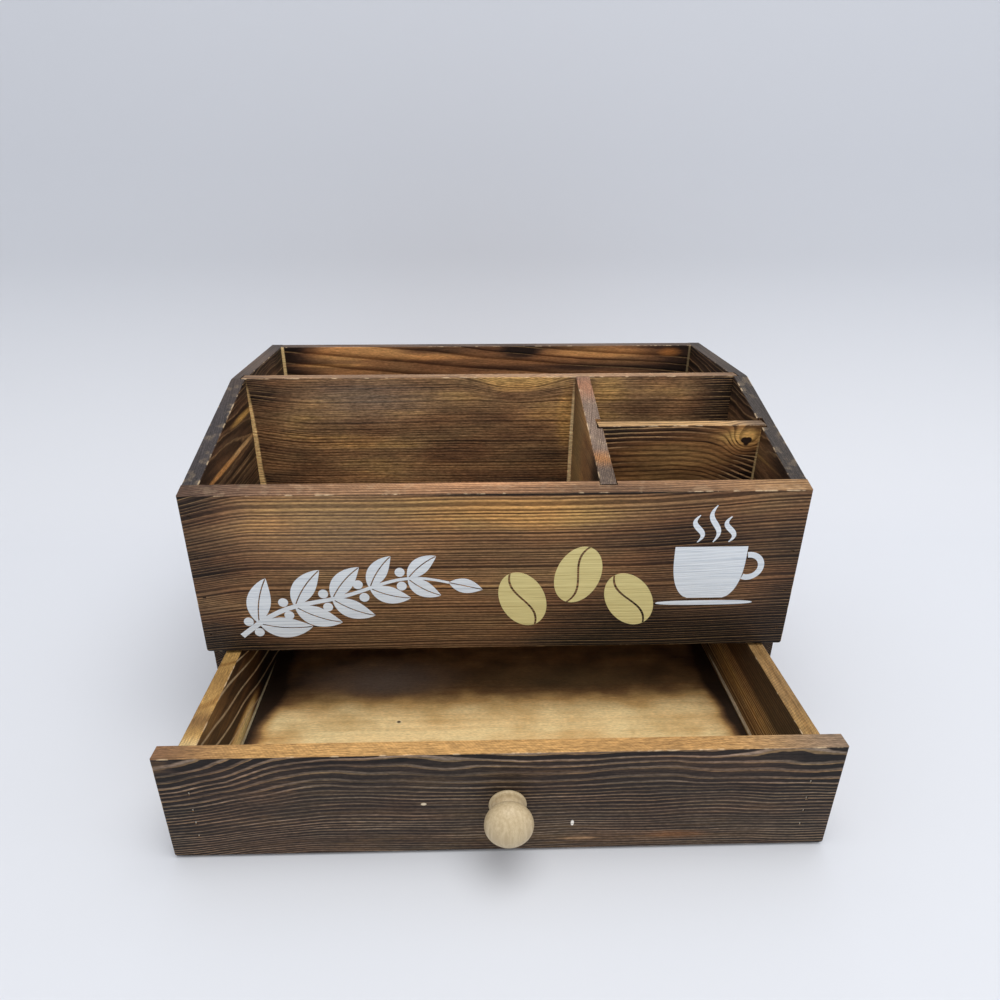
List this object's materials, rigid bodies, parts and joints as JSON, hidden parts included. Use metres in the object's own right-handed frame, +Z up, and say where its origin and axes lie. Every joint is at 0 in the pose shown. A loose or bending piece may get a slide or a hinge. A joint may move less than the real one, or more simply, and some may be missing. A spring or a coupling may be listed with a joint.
{
  "type": "coffee station organizer",
  "caption": "Scorched softwood countertop organizer with four open compartments over one sliding drawer with a turned knob.",
  "frame": {"origin": "centre of the case's underside, on the surface it stands on", "axes": "+Z up, -Y towards the front, where the drawer opens, +X to the right seen from the front"},
  "size_m": [0.35, 0.3399, 0.208],
  "materials": {
    "scorched_softwood": "flame-scorched and brushed pine with a thin matt oil",
    "plywood": "thin plywood, lightly scorched",
    "turned_hardwood": "turned and sanded, unfinished",
    "steel_wire": "bright wire",
    "zinc_plated_steel": "zinc plated"
  },
  "bodies": {
    "case": {"left_side": "scorched_softwood", "right_side": "scorched_softwood", "front_panel": "scorched_softwood", "back_panel": "scorched_softwood", "long_partition": "scorched_softwood", "lengthwise_divider": "scorched_softwood", "cross_divider": "scorched_softwood", "tray_floor": "plywood", "base_panel": "plywood", "front_panel_brads": "steel_wire", "back_panel_brads": "steel_wire", "base_panel_brads": "steel_wire"},
    "drawer": {"drawer_front": "scorched_softwood", "drawer_left_side": "scorched_softwood", "drawer_right_side": "scorched_softwood", "drawer_back": "scorched_softwood", "drawer_floor": "plywood", "drawer_knob": "turned_hardwood", "knob_screw": "zinc_plated_steel", "drawer_front_brads": "steel_wire", "drawer_back_brads": "steel_wire"}
  },
  "joints": [
    {"name": "drawer_slide", "type": "slide", "parent": "case", "child": "drawer", "axis": [0, -1, 0], "range_m": [-0.0871, 0.06]}
  ]
}
